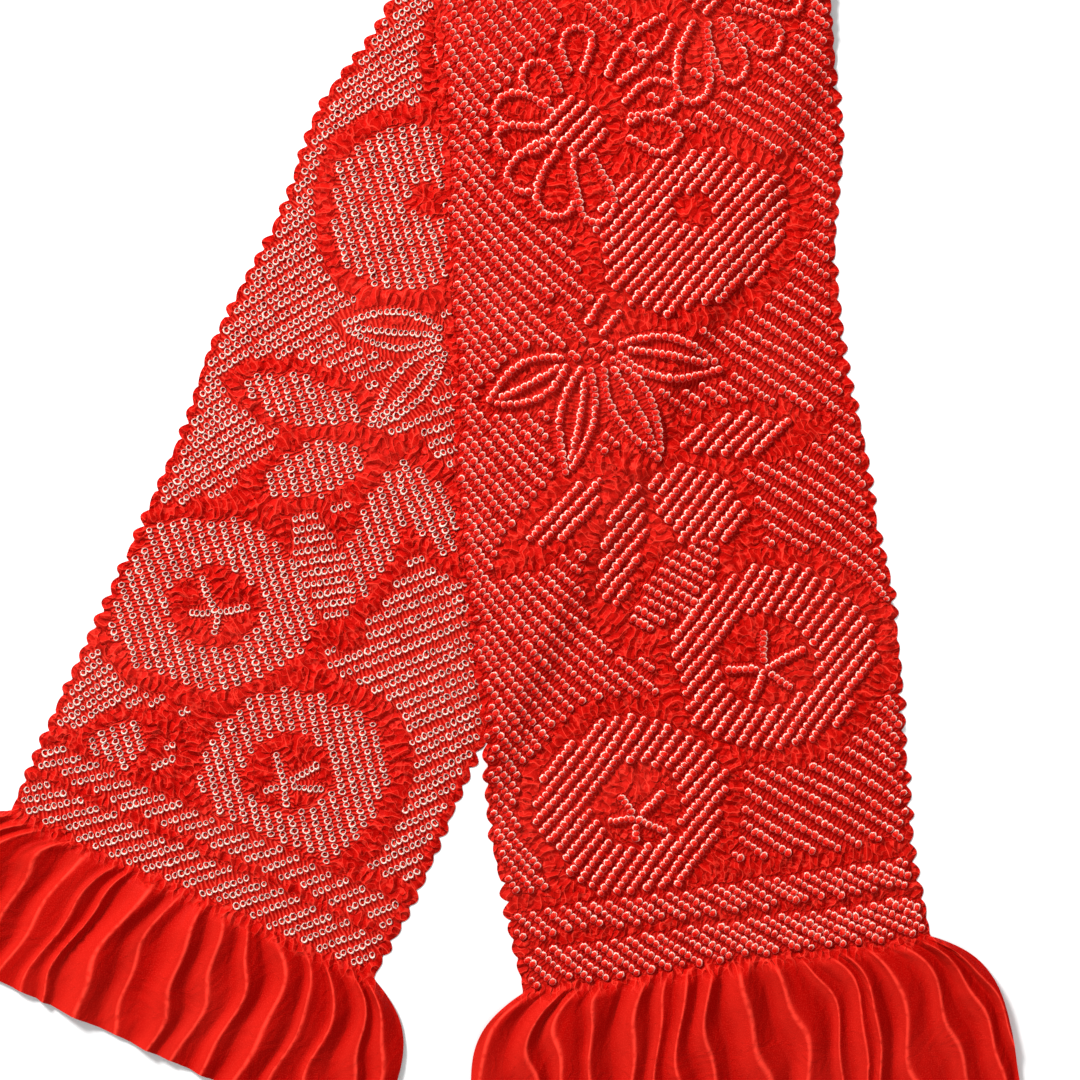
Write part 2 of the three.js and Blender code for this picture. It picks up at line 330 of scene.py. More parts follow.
def walk_path(tail):
    """The tail's middle line, in steps of 1 mm from the fold."""
    along = np.arange(0, tail["band"] + PLAIN_END + 3)
    lean = np.radians(read_table(tail["lean"], along))
    forward = np.stack([-np.sin(lean), -np.cos(lean)], 1)
    place = np.cumsum(forward, 0) - forward + np.array(FOLD_PLACE)
    tail["path"] = place
    tail["forward"] = forward
    tail["side"] = np.stack([-forward[:, 1], forward[:, 0]], 1)


def plan(tail, along, across):
    """The place in plan of points given along and across the tail."""
    at = np.clip(along, 0, len(tail["path"]) - 1.001)
    low = at.astype(int)
    share = (at - low)[..., None]
    middle = tail["path"][low] * (1 - share) + tail["path"][low + 1] * share
    side = tail["side"][low] * (1 - share) + tail["side"][low + 1] * share
    return middle + side * across[..., None]


def to_tail(tail, places):
    """The distances along and across of points given in plan."""
    along = FOLD_PLACE[1] - places[:, 1]
    for _ in range(8):
        near = np.clip(along, 0, len(tail["path"]) - 1).astype(int)
        offset = places - tail["path"][near]
        along = near + (offset * tail["forward"][near]).sum(1)
    across = (offset * tail["side"][near]).sum(1)
    return along, across


def ground_curve(tail):
    """How far along a ground row has moved at each distance across, and its length so far."""
    across = np.arange(-FIELD_HALF, FIELD_HALF + FIELD_STEP, FIELD_STEP)
    angle = np.radians(read_table(tail["row_angle"], across))
    rise = np.cumsum(np.tan(angle)) * FIELD_STEP
    length = np.cumsum(1 / np.cos(angle)) * FIELD_STEP
    return across, rise - rise[len(rise) // 2], length


def scattered(number, start):
    """A value from 0 to 1 for each whole number, the same each time."""
    wild = np.sin(number * 12.9898 + start) * 43758.5453
    return wild - np.floor(wild)


def half_width(tail, along, across):
    """Half the tail's width on the side that across is on, with scallops and the end's flare."""
    right = across > 0
    base = np.where(right, read_table(tail["right"], along), read_table(tail["left"], along))
    past = np.maximum(along - tail["band"], 0)
    flare = FLARE_WIDTH * (1 - np.exp(-past / FLARE_LENGTH))
    over, rise, _ = tail["ground"]
    count = (along - np.interp(np.where(right, BAND_HALF, -BAND_HALF), over, rise)) / tail["row_step"]
    number = np.floor(count)
    wild = scattered(number, np.where(right, 4.1, 9.7))
    share = count - number
    bulge = np.sin(math.pi * share ** (0.75 + 0.5 * wild)) ** 0.8 - 0.55
    settle = smooth(0, 18, tail["band"] - along)
    return base + flare + SCALLOP_DEPTH * (0.25 + 1.3 * wild) * bulge * settle


# Where the tied points are.


def turned(x, y, degrees):
    angle = math.radians(degrees)
    return x * math.cos(angle) + y * math.sin(angle), -x * math.sin(angle) + y * math.cos(angle)


def filled_distance(motif, x, y):
    """Roughly how far a point lies outside a filled motif, less than zero inside it."""
    over, up = turned(x - motif["at"][0], y - motif["at"][1], motif["turn"])
    long, wide = motif["half"]
    if "lobes" not in motif:
        reach = (np.abs(over / long) ** 1.6 + np.abs(up / wide) ** 1.6) ** (1 / 1.6)
        return (reach - 1) * min(long, wide)
    around = np.arctan2(up / wide, over / long)
    limit = 1 - 0.06 * np.abs(np.sin(motif["lobes"] * around / 2)) ** 6 + 0.02 * np.cos(3 * around)
    return (np.hypot(over / long, up / wide) - limit) * min(long, wide)


def hollow_distance(motif, x, y):
    """Roughly how far a point lies outside a motif's hollow."""
    if "hollow" not in motif:
        return np.full(np.shape(x), NO_HOLLOW)
    dx, dy, long, wide = motif["hollow"]
    over = (x - motif["at"][0] - dx) / long
    up = (y - motif["at"][1] - dy) / wide
    return (np.hypot(over, up) - 1) * min(long, wide)


def spaced(points, pitch):
    """Points at an even pitch along a line of points, with the line's turn at each."""
    points = np.asarray(points, float)
    steps = np.hypot(*np.diff(points, axis=0).T)
    length = np.concatenate([[0], np.cumsum(steps)])
    count = max(int(round(length[-1] / pitch)), 1)
    at = (np.arange(count) + 0.5) * length[-1] / count
    x = np.interp(at, length, points[:, 0])
    y = np.interp(at, length, points[:, 1])
    ahead = np.interp(at + 1, length, points[:, 0]) - np.interp(at - 1, length, points[:, 0])
    rise = np.interp(at + 1, length, points[:, 1]) - np.interp(at - 1, length, points[:, 1])
    return np.stack([x, y, np.arctan2(rise, ahead)], 1)


def motif_rows(motif):
    """The tied points that fill a motif, in rows side by side."""
    reach = max(motif["half"]) * 1.2
    found = []
    turn = math.radians(motif["rows"])
    for row in np.arange(-reach, reach, motif.get("step", MOTIF_STEP)) + rng.uniform(0, 1):
        start = rng.uniform(0, POINT_PITCH)
        along = np.arange(-reach + start, reach, POINT_PITCH)
        bow = row + 0.0012 * along**2 * math.copysign(1, row) * min(abs(row) / 20, 1)
        x = motif["at"][0] + along * math.cos(turn) - bow * math.sin(turn)
        y = motif["at"][1] + along * math.sin(turn) + bow * math.cos(turn)
        ragged = rng.uniform(-1.6, 1.0)
        keep = filled_distance(motif, x, y) < ragged
        keep &= hollow_distance(motif, x, y) > rng.uniform(0, 1.5)
        found.append(np.stack([x, y, np.full(len(x), turn)], 1)[keep])
    for degrees, length in motif.get("rays", ()):
        at = np.arange(1.6, length, RAY_PITCH)
        bowed = math.radians(degrees) + 0.012 * at * rng.uniform(-1, 1)
        x = motif["star"][0] + at * np.cos(bowed)
        y = motif["star"][1] + at * np.sin(bowed)
        found.append(np.stack([x, y, bowed], 1))
    return np.concatenate(found)


def petal_line(middle, turn, inner, outer, width):
    """A petal's outline: out from near the middle, round its tip and back, open at its base."""
    angle = math.radians(turn)
    tip = outer - width / 2
    out = np.linspace(0, 1, 12)
    side = width / 2 * (0.4 + 0.6 * np.sin(out * math.pi / 2))
    arc = np.linspace(math.pi / 2, -math.pi / 2, 12)[1:-1]
    straight = inner + (tip - inner) * out
    reach = np.concatenate([straight, tip + width / 2 * np.cos(arc), straight[::-1]])
    spread = np.concatenate([side, width / 2 * np.sin(arc), -side[::-1]])
    spread = spread + 0.05 * width * np.sin(reach / 5 + turn)
    x = middle[0] + reach * math.cos(angle) - spread * math.sin(angle)
    y = middle[1] + reach * math.sin(angle) + spread * math.cos(angle)
    return np.stack([x, y], 1)


def leaf_lines(base, tip, width):
    """A leaf's two sides and its midrib."""
    base = np.array(base, float)
    tip = np.array(tip, float)
    ahead = tip - base
    side = np.array([-ahead[1], ahead[0]]) / np.hypot(*ahead)
    step = np.linspace(0.04, 0.99, 30)[:, None]
    bow = np.sin(math.pi * step**0.9) * width / 2
    rib = np.linspace(0.12, 0.86, 20)[:, None]
    return [
        base + ahead * step + side * bow,
        base + ahead * step - side * bow,
        base + ahead * rib + side * np.sin(math.pi * rib) * 1.2,
    ]


def outline_lines(outlined, leaves, stems):
    """Every line of points that a tail's outlined blossoms, leaves and stems are drawn with."""
    lines = [np.linspace(start, end, 8) for start, end in stems]
    for blossom in outlined:
        for petal in blossom["petals"]:
            lines.append(petal_line(blossom["at"], *petal))
        turn, count, gap, length = blossom["bars"]
        angle = math.radians(turn)
        for bar in range(count):
            shift = (bar - (count - 1) / 2) * gap
            reach = length / 2 - 1.6 * abs(bar - (count - 1) / 2)
            step = np.linspace(-reach, reach, 12)
            x = blossom["at"][0] + step * math.cos(angle) - shift * math.sin(angle)
            y = blossom["at"][1] + step * math.sin(angle) + shift * math.cos(angle)
            lines.append(np.stack([x, y], 1))
    for leaf in leaves:
        lines.extend(leaf_lines(*leaf))
    return lines


def ground_points(tail):
    """The ground's tied points: one slanting curve repeated down the whole tail."""
    over, rise, length = tail["ground"]
    found = []
    first = int(-rise.max() / tail["row_step"]) - 1
    last = int((tail["band"] - rise.min()) / tail["row_step"]) + 1
    for number in range(first, last):
        start = rng.uniform(0, POINT_PITCH)
        at = np.arange(start, length[-1], POINT_PITCH)
        at = at + rng.normal(0, 0.12, len(at))
        across = np.interp(at, length, over)
        sway = 0.5 * np.sin(across / 17 + number * 1.9) + rng.uniform(-0.3, 0.3)
        along = number * tail["row_step"] + np.interp(across, over, rise) + sway
        angle = np.radians(read_table(tail["row_angle"], across))
        found.append(np.stack([along, across, angle], 1))
    found = np.concatenate(found)
    keep = (found[:, 0] > 2) & (found[:, 0] < tail["band"] - GROUND_END)
    keep &= np.abs(found[:, 1]) < 110
    return found[keep]


def border_points(tail):
    """The two bands of short slanting rows before the plain end."""
    found = []
    lean = 1 if tail["face_up"] else -1
    for back, front in (BAND_ONE, BAND_TWO):
        for start in np.arange(-FIELD_HALF, FIELD_HALF, tail["border_step"]):
            angle = abs(float(read_table(tail["border_angle"], start)))
            angle = math.radians(angle + rng.uniform(-2, 2))
            top = tail["band"] - back + rng.uniform(-0.8, 0.8)
            count = int((back - front) / (POINT_PITCH * math.sin(angle)) + rng.uniform(0.2, 0.9))
            step = np.arange(count) * POINT_PITCH
            along = top + step * math.sin(angle)
            across = start + lean * step * math.cos(angle)
            found.append(np.stack([along, across, np.full(count, lean * angle)], 1))
    return np.concatenate(found)


def plan_to_tail_angle(tail, along, angle):
    """Turns a direction in plan into one in the tail, and back, as it is its own inverse."""
    lean = np.radians(read_table(tail["lean"], along))
    return -angle - lean


def thinned(points, tail):
    """Leaves out each point that lies too close to one before it in the list, or far from them all."""
    places = plan(tail, points[:, 0], points[:, 1])
    cells = {}
    keep = []
    for index, (x, y) in enumerate(places):
        cell = (int(x // CLOSEST_POINTS), int(y // CLOSEST_POINTS))
        near = [cells.get((cell[0] + i, cell[1] + j), ()) for i in (-1, 0, 1) for j in (-1, 0, 1)]
        if all(math.hypot(x - p[0], y - p[1]) > CLOSEST_POINTS for group in near for p in group):
            cells.setdefault(cell, []).append((x, y))
            keep.append(index)
    near = kdtree.KDTree(len(keep))
    for number, index in enumerate(keep):
        near.insert((*places[index], 0), number)
    near.balance()
    alone = [near.find_n((*places[index], 0), 2)[1][2] > LONELY_GAP for index in keep]
    return points[keep][~np.array(alone)]


def tied_points(tail, filled, outlined, leaves, stems):
    """All the tail's tied points: along, across, the row's turn in the tail, and a size."""
    motifs = [motif_rows(motif) for motif in filled]
    lines = outline_lines(outlined, leaves, stems)
    drawn = [spaced(line, OUTLINE_PITCH) for line in lines]
    picture = np.concatenate(motifs + drawn)
    along, across = to_tail(tail, picture[:, :2])
    motif_part = np.stack([along, across, plan_to_tail_angle(tail, along, picture[:, 2])], 1)
    ground = ground_points(tail)
    places = plan(tail, ground[:, 0], ground[:, 1])
    keep = np.ones(len(ground), bool)
    for motif in filled:
        clear = motif.get("clear", MOTIF_CLEARANCE)
        keep &= filled_distance(motif, places[:, 0], places[:, 1]) > clear
    line_points = np.concatenate(drawn)[:, :2]
    for index, place in enumerate(places):
        gap = np.hypot(*(place - line_points).T).min()
        keep[index] &= gap > OUTLINE_CLEARANCE
    for blossom in outlined:
        gap = np.hypot(places[:, 0] - blossom["at"][0], places[:, 1] - blossom["at"][1])
        keep &= gap > BLOSSOM_CLEARANCE
    motif_part = motif_part[motif_part[:, 0] < tail["band"] - BAND_ONE[0] - 4]
    points = np.concatenate([border_points(tail), motif_part[::-1], ground[keep]])
    points = thinned(points, tail)
    inside = half_width(tail, points[:, 0], points[:, 1]) - np.abs(points[:, 1])
    points = points[(inside > EDGE_MARGIN) & (points[:, 0] > 3)]
    points[:, :2] += rng.normal(0, tail["wander"], (len(points), 2))
    size = np.clip(rng.normal(tail["size"], 0.1, len(points)), 0.7, 1.45)
    return np.column_stack([points, size])


# The cloth's relief, worked out as fields over the tail.


def field_grid(tail):
    along = np.arange(0, tail["band"] + PLAIN_END + 2, FIELD_STEP)
    across = np.arange(-FIELD_HALF, FIELD_HALF + FIELD_STEP, FIELD_STEP)
    return along, across


def splat(shape, points, weights, width):
    """Adds a small Gaussian hill to a field at each point."""
    field = np.zeros(shape)
    row = points[:, 0] / FIELD_STEP
    column = (points[:, 1] + FIELD_HALF) / FIELD_STEP
    reach = int(3 * width / FIELD_STEP) + 1
    low_row = np.round(row).astype(int)
    low_column = np.round(column).astype(int)
    for down in range(-reach, reach + 1):
        for over in range(-reach, reach + 1):
            r = low_row + down
            c = low_column + over
            fits = (r >= 0) & (r < shape[0]) & (c >= 0) & (c < shape[1])
            gap = ((r - row) ** 2 + (c - column) ** 2) * FIELD_STEP**2
            hill = weights * np.exp(-gap / (2 * width**2))
            np.add.at(field, (r[fits], c[fits]), hill[fits])
    return field


def sample(field, along, across):
    """Reads a field between its grid points."""
    row = np.clip(along / FIELD_STEP, 0, field.shape[0] - 1.001)
    column = np.clip((across + FIELD_HALF) / FIELD_STEP, 0, field.shape[1] - 1.001)
    r = row.astype(int)
    c = column.astype(int)
    down = row - r
    over = column - c
    top = field[r, c] * (1 - over) + field[r, c + 1] * over
    bottom = field[r + 1, c] * (1 - over) + field[r + 1, c + 1] * over
    return top * (1 - down) + bottom * down


def streak(white, turn, reach):
    """Smears noise along a field of directions, which leaves wrinkles that follow them."""
    down = np.sin(turn)
    over = np.cos(turn)
    rows, columns = np.indices(white.shape).astype(float)
    total = white.copy()
    for way in (1, -1):
        r = rows.copy()
        c = columns.copy()
        last_down = down * way
        last_over = over * way
        for step in range(1, int(reach / FIELD_STEP) + 1):
            r = np.clip(r + last_down, 0, white.shape[0] - 1)
            c = np.clip(c + last_over, 0, white.shape[1] - 1)
            ri = np.round(r).astype(int)
            ci = np.round(c).astype(int)
            fade = 1 - step * FIELD_STEP / (reach + FIELD_STEP)
            total += white[ri, ci] * fade
            new_down = down[ri, ci]
            new_over = over[ri, ci]
            same = np.sign(new_down * last_down + new_over * last_over)
            same[same == 0] = 1
            last_down = new_down * same
            last_over = new_over * same
    total -= total.mean()
    return total / total.std()


def relief_fields(tail, points):
    """Fields over the tail, such as its height, its wrinkles' direction and how tied it is."""
    along, across = field_grid(tail)
    shape = (len(along), len(across))
    ones = np.ones(len(points))
    rows = splat(shape, points, ones, ROW_WIDTH)
    rows = np.tanh(rows / 1.1) / math.tanh(1.0)
    tied = np.clip(blur(splat(shape, points, ones, 1.6), 1.7) / 0.72, 0, 1)
    pleat = points[:, 2] + math.pi / 2
    row_x = blur(splat(shape, points, np.cos(2 * pleat), 2.0), 1.5)
    row_y = blur(splat(shape, points, np.sin(2 * pleat), 2.0), 1.5)
    slope_down, slope_over = np.gradient(blur(tied, 2.0))
    gap_x = blur(slope_over**2 - slope_down**2, GAP_REACH)
    gap_y = blur(2 * slope_over * slope_down, GAP_REACH)
    row_size = np.hypot(row_x, row_y) + 1e-6
    gap_size = np.hypot(gap_x, gap_y) + 1e-9
    twice_x = blur(row_x / row_size * tied + gap_x / gap_size * (1 - tied), 1.2)
    twice_y = blur(row_y / row_size * tied + gap_y / gap_size * (1 - tied), 1.2)
    turn = np.arctan2(twice_y, twice_x) / 2
    white = rng.normal(0, 1, shape)
    coarse = streak(blur(white, 0.8), turn, 4.5)
    white = rng.normal(0, 1, shape)
    fine = streak(blur(white, 0.6), turn, 3.5)
    broad = blur(rng.normal(0, 1, shape), 9.0)
    broad = broad / broad.std()
    past = along[:, None] - tail["band"]
    sway = math.pi / 2 + 0.16 * np.sin(along[:, None] / 7 + across[None, :] / 9)
    pleats = streak(blur(rng.normal(0, 1, shape), 1.5), sway, 16.0)
    coarse = coarse + (pleats - coarse) * smooth(-3, 4, past)
    crests = 1.0 - np.clip(np.abs(coarse), 0, 1.6) * 0.62 + 0.12 * fine
    tied_height = tail["row_height"] * rows + 0.26 * fine * (1 - 0.6 * rows)
    plain_height = CRINKLE_HEIGHT * crests
    height = tied_height * tied + plain_height * (1 - tied)
    height = VALLEY_LEVEL + np.clip(height + SWELL_HEIGHT * 0.5 * broad, 0, 4)
    return {"height": height, "turn": turn, "tied": tied, "fine": fine, "crest": coarse, "rows": rows}


def in_band(tail, along, across):
    """The distance across, drawn in where the plain end flares, so that pleats fan out with it."""
    past = np.maximum(along - tail["band"], 0)
    return across * BAND_HALF / (BAND_HALF + FLARE_WIDTH * (1 - np.exp(-past / FLARE_LENGTH)))


def end_folds(tail):
    """The plain end's sharp gathers: the place across and height of each crease and crest in turn."""
    steps = rng.uniform(0.35, 1.65, END_FOLDS * 2)
    places = np.concatenate([[0], np.cumsum(steps)])
    places = -1.02 + 2.04 * places / places[-1]
    heights = rng.uniform(0.0, 1.6, len(places))
    heights[1::2] = rng.uniform(2.0, 6.2, len(heights[1::2]))
    return places, heights


def fold_share(tail, along, across):
    """The place across the plain end, from -1 to 1, with the slow sway of its gathers."""
    past = along - tail["band"]
    share = across / np.maximum(half_width(tail, along, across), 1)
    sway = 0.022 * np.sin(past / 14 + 7 * share) + 0.01 * np.sin(past / 6 + 19 * share)
    return share, share + sway


def tail_height(tail, fields, along, across, edge):
    """Height of the cloth over the tail's own underside. Edge is the distance in from the selvedge."""
    drawn = in_band(tail, along, across)
    band = sample(fields["height"], along, drawn)
    band = VALLEY_LEVEL + (band - VALLEY_LEVEL) * smooth(-0.5, 3.2, edge)
    past = along - tail["band"]
    share, swayed = fold_share(tail, along, across)
    broad = np.zeros(np.shape(along))
    for place, width, height in tail["end_folds"]:
        drift = 0.03 * np.sin(past / 19 + 9 * place)
        broad = broad + height * np.exp(-(((share - place + drift) / width) ** 2))
    broad = broad * 0.6 * (1 - 0.3 * smooth(PLAIN_END / 2, PLAIN_END, past)) * smooth(-3, 20, past)
    places, heights = tail["gathers"]
    gathers = np.interp(swayed, places, heights) * (1 - 0.3 * smooth(20, PLAIN_END, past))
    small = np.interp(-swayed, places, heights) * 0.4 * (1 - smooth(4, 26, past))
    gathers = gathers + small
    loose = VALLEY_LEVEL + 0.2 + broad + gathers + 0.08 * sample(fields["fine"], along, drawn)
    return band + (loose - band) * smooth(-1.5, 6, past)


def outside_lower(places):
    """How far a point in plan lies outside the lower tail's edge."""
    along, across = to_tail(LOWER, places)
    base = np.where(across > 0, read_table(LOWER["right"], along), read_table(LOWER["left"], along))
    return np.abs(across) - base - SCALLOP_DEPTH / 2


def cloth_points(tail, fields, along, across):
    """Where points of the cloth are, in millimetres, from their distances along and across."""
    edge = half_width(tail, along, across) - np.abs(across)
    height = tail_height(tail, fields, along, across, edge)
    places = plan(tail, along, across)
    level = np.zeros(along.shape)
    if tail is UPPER:
        beyond = outside_lower(places.reshape(-1, 2)).reshape(along.shape)
        level += SURFACE_LEVEL * (1 - smooth(DRAPE_START, DRAPE_END, beyond))
        top = FOLD_MIDDLE + FOLD_RADIUS - MIDDLE_LEVEL
        level += (top - SURFACE_LEVEL) * (1 - smooth(FOLD_RADIUS, FOLD_RELAX, along))
    level += height
    way = 1 if tail is UPPER else -1
    bend = np.clip(along / FOLD_RADIUS, 0, 1) * math.pi / 2
    reach = FOLD_RADIUS + way * (height - MIDDLE_LEVEL) * smooth(0, 3, along)
    ahead = FOLD_RADIUS - reach * np.cos(bend)
    round_places = np.array(FOLD_PLACE) + tail["side"][0] * across[..., None]
    round_places = round_places + tail["forward"][0] * ahead[..., None]
    round_level = FOLD_MIDDLE + way * reach * np.sin(bend)
    turning = along < FOLD_RADIUS
    places = np.where(turning[..., None], round_places, places)
    level = np.where(turning, round_level, level)
    return np.concatenate([places, level[..., None]], -1)


# Meshes.


def add_to_scene(name, data):
    thing = bpy.data.objects.new(name, data)
    bpy.context.scene.collection.objects.link(thing)
    return thing


def grid_faces(rows, columns):
    """The faces of a grid of points, four corners each."""
    first = (np.arange(rows - 1)[:, None] * columns + np.arange(columns - 1)[None, :]).ravel()
    return np.stack([first, first + columns, first + columns + 1, first + 1], 1)


def new_mesh(name, places, face_groups, uv, values):
    """A smooth-shaded mesh from places in millimetres, with UVs and named numbers at each point."""
    mesh = bpy.data.meshes.new(name)
    mesh.vertices.add(len(places))
    mesh.vertices.foreach_set("co", (places * MM).astype(np.float32).ravel())
    loops = np.concatenate([group.ravel() for group in face_groups])
    sizes = np.concatenate([np.full(len(group), group.shape[1]) for group in face_groups])
    starts = np.concatenate([[0], np.cumsum(sizes)[:-1]])
    mesh.loops.add(len(loops))
    mesh.loops.foreach_set("vertex_index", loops.astype(np.int32))
    mesh.polygons.add(len(sizes))
    mesh.polygons.foreach_set("loop_start", starts.astype(np.int32))
    mesh.polygons.foreach_set("use_smooth", np.ones(len(sizes), bool))
    layer = mesh.uv_layers.new(name="cloth")
    layer.data.foreach_set("uv", uv[loops].astype(np.float32).ravel())
    for key, numbers in values.items():
        stored = mesh.attributes.new(key, "FLOAT", "POINT")
        stored.data.foreach_set("value", numbers.astype(np.float32).ravel())
    mesh.update()
    mesh.validate()
    return add_to_scene(name, mesh)


def cloth_sheet(tail, fields):
    """One half of the cloth, from the fold to the end of its plain part."""
    fold = np.arange(0, FOLD_RADIUS, FOLD_STEP)
    stem = np.arange(FOLD_RADIUS, FINE_FROM, COARSE_STEP)
    fine = np.arange(stem[-1] + 1.5, tail["band"] + PLAIN_END, FINE_STEP)
    down = np.concatenate([fold, stem, fine])
    share = np.linspace(-1, 1, COLUMNS)
    along = np.repeat(down[:, None], COLUMNS, 1)
    side = np.repeat(share[None, :], len(down), 0)
    across = half_width(tail, along, side) * side
    places = cloth_points(tail, fields, along, across)
    drawn = in_band(tail, along, across)
    turn = sample_turn(fields["turn"], along, drawn)
    swayed = fold_share(tail, along, across)[1]
    values = {
        "tied": sample(fields["tied"], along, drawn),
        "rows": sample(fields["rows"], along, drawn),
        "crest": sample(fields["crest"], along, drawn),
        "plain": smooth(-1, 7, along - tail["band"]),
        "fold": np.interp(swayed, tail["gathers"][0], np.arange(END_FOLDS * 2 + 1.0)),
        "pleat_x": np.cos(2 * turn),
        "pleat_y": np.sin(2 * turn),
    }
    uv = np.stack([across.ravel(), -along.ravel()], 1) * MM
    return new_mesh(f"{tail['name']}_cloth", places.reshape(-1, 3), [grid_faces(*along.shape)], uv, values)


def sample_turn(turn, along, across):
    x = sample(np.cos(2 * turn), along, across)
    y = sample(np.sin(2 * turn), along, across)
    return np.arctan2(y, x) / 2


def point_mesh(name, tail, fields, points, profile, sides, follow):
    """One small turned shape on the cloth at each tied point. The profile's rows are (radius, height).

    Where it follows its row, its pale, lit side is the row's upper side, where painted light falls.
    """
    base = cloth_points(tail, fields, points[:, 0], points[:, 1])
    radii, heights = np.array(profile[1:]).T
    around = np.arange(sides) * 2 * math.pi / sides
    count = len(points)
    rings = len(radii)
    upper_side = plan_to_tail_angle(tail, points[:, 0], points[:, 2]) + math.pi / 2
    upper_side = np.where(np.sin(upper_side) < 0, upper_side + math.pi, upper_side)
    squash = upper_side[:, None] + rng.normal(0, 0.3, (count, 1))
    shape = 1 + rng.uniform(0.0, 0.2, (count, 1)) * np.cos(2 * (around - squash))
    shape = (shape + rng.normal(0, 0.05, (count, sides)))[:, None, :]
    size = points[:, 3][:, None, None]
    round_x = radii[None, :, None] * np.cos(around) * np.ones((count, 1, 1))
    round_y = radii[None, :, None] * np.sin(around) * np.ones((count, 1, 1))
    x = round_x * shape * size
    y = round_y * shape * size
    tip = rng.normal(0, 0.16, (2, count, 1, 1))
    z = heights[None, :, None] + rng.normal(0, 0.06, (count, rings, sides)) + tip[0] * x + tip[1] * y
    ring = np.stack([x, y, np.broadcast_to(z, x.shape)], -1).reshape(count, -1, 3)
    shift = rng.normal(0, 0.08, (count, 2))
    top = np.column_stack([shift, np.full(count, profile[0][1])])[:, None, :]
    places = np.concatenate([top, ring], 1) + base[:, None, :]
    each = 1 + rings * sides
    first = (np.arange(count) * each)[:, None, None]
    now = np.arange(sides)
    after = (now + 1) % sides
    caps = np.stack([np.zeros(sides, int), 1 + now, 1 + after], 1)
    walls = []
    for step in range(rings - 1):
        inner = 1 + step * sides
        outer = inner + sides
        walls.append(np.stack([inner + now, outer + now, outer + after, inner + after], 1))
    walls = np.concatenate(walls)
    groups = [(caps[None] + first).reshape(-1, 3), (walls[None] + first).reshape(-1, 4)]
    spin = (math.pi / 2 - upper_side) * follow
    cosine = np.cos(spin)[:, None]
    sine = np.sin(spin)[:, None]
    middle = np.zeros((count, 1))
    round_x = np.concatenate([middle, round_x.reshape(count, -1)], 1)
    round_y = np.concatenate([middle, round_y.reshape(count, -1)], 1)
    u = round_x * cosine - round_y * sine
    v = round_x * sine + round_y * cosine
    uv = np.stack([u, v], -1).reshape(-1, 2) / UV_SPAN + 0.5
    chance = np.repeat(rng.uniform(0, 1, count), each)
    return new_mesh(name, places.reshape(-1, 3), groups, uv, {"chance": chance})


# Materials.


def attribute(tree, name):
    made = tree.nodes.new("ShaderNodeAttribute")
    made.attribute_name = name
    return made.outputs["Fac"]


def maths(tree, operation, *values):
    """A Math node. Each value is a socket or a number."""
    made = tree.nodes.new("ShaderNodeMath")
    made.operation = operation
    for index, value in enumerate(values):
        if isinstance(value, (int, float)):
            made.inputs[index].default_value = value
        else:
            tree.links.new(value, made.inputs[index])
    return made.outputs[0]


def times(tree, first, second):
    return maths(tree, "MULTIPLY", first, second)


def plus(tree, first, second):
    return maths(tree, "ADD", first, second)


def ramp(tree, value, low, high, out_low=0.0, out_high=1.0):
    """A smooth step from out_low, where the value is low, to out_high, where it is high."""
    made = tree.nodes.new("ShaderNodeMapRange")
    made.interpolation_type = "SMOOTHSTEP"
    limits = {"From Min": low, "From Max": high, "To Min": out_low, "To Max": out_high}
    for key, limit in limits.items():
        made.inputs[key].default_value = limit
    tree.links.new(value, made.inputs["Value"])
    return made.outputs["Result"]


def mixed(tree, share, first, second):
    """A colour mix. Each colour is a socket or three numbers."""
    made = tree.nodes.new("ShaderNodeMix")
    made.data_type = "RGBA"
    tree.links.new(share, made.inputs[0])
    for index, colour in ((6, first), (7, second)):
        if isinstance(colour, tuple):
            made.inputs[index].default_value = (*colour, 1)
        else:
            tree.links.new(colour, made.inputs[index])
    return made.outputs[2]


def noise(tree, where, scale, detail=1.0):
    made = tree.nodes.new("ShaderNodeTexNoise")
    made.inputs["Scale"].default_value = scale
    made.inputs["Detail"].default_value = detail
    tree.links.new(where, made.inputs["Vector"])
    return made.outputs["Fac"]


def bump(tree, height, distance, strength):
    """A Bump node over a height. Its distance is in metres."""
    made = tree.nodes.new("ShaderNodeBump")
    made.inputs["Strength"].default_value = strength
    made.inputs["Distance"].default_value = distance
    tree.links.new(height, made.inputs["Height"])
    return made


def silk_material(name):
    """A new silk material: itself, its nodes and its shader."""
    material = bpy.data.materials.new(name)
    material.use_nodes = True
    shader = material.node_tree.nodes["Principled BSDF"]
    shader.inputs["Roughness"].default_value = 0.42
    shader.inputs["Specular IOR Level"].default_value = 0.01
    shader.inputs["Sheen Weight"].default_value = 0.005
    shader.inputs["Sheen Roughness"].default_value = 0.35
    shader.inputs["Sheen Tint"].default_value = (1.0, 0.35, 0.25, 1)
    return material, material.node_tree, shader


def fold_lines(tree, uv, turn, tight):
    """Sharp folds that run along a turn: 0 in their creases and 1 on their crests.

    They are close and straight where the cloth is gathered, and wide and broken where it is loose.
    """
    made = tree.nodes.new("ShaderNodeTexGabor")
    made.gabor_type = "2D"
    made.inputs["Scale"].default_value = 220
    tree.links.new(ramp(tree, tight, 0.0, 1.0, 1.0, 2.6), made.inputs["Frequency"])
    tree.links.new(ramp(tree, tight, 0.0, 1.0, 0.86, 0.88), made.inputs["Anisotropy"])
    tree.links.new(turn, made.inputs["Orientation"])
    tree.links.new(uv, made.inputs["Vector"])
    from_middle = maths(tree, "ABSOLUTE", maths(tree, "SUBTRACT", made.outputs["Phase"], 0.5))
    return times(tree, from_middle, 2.0)


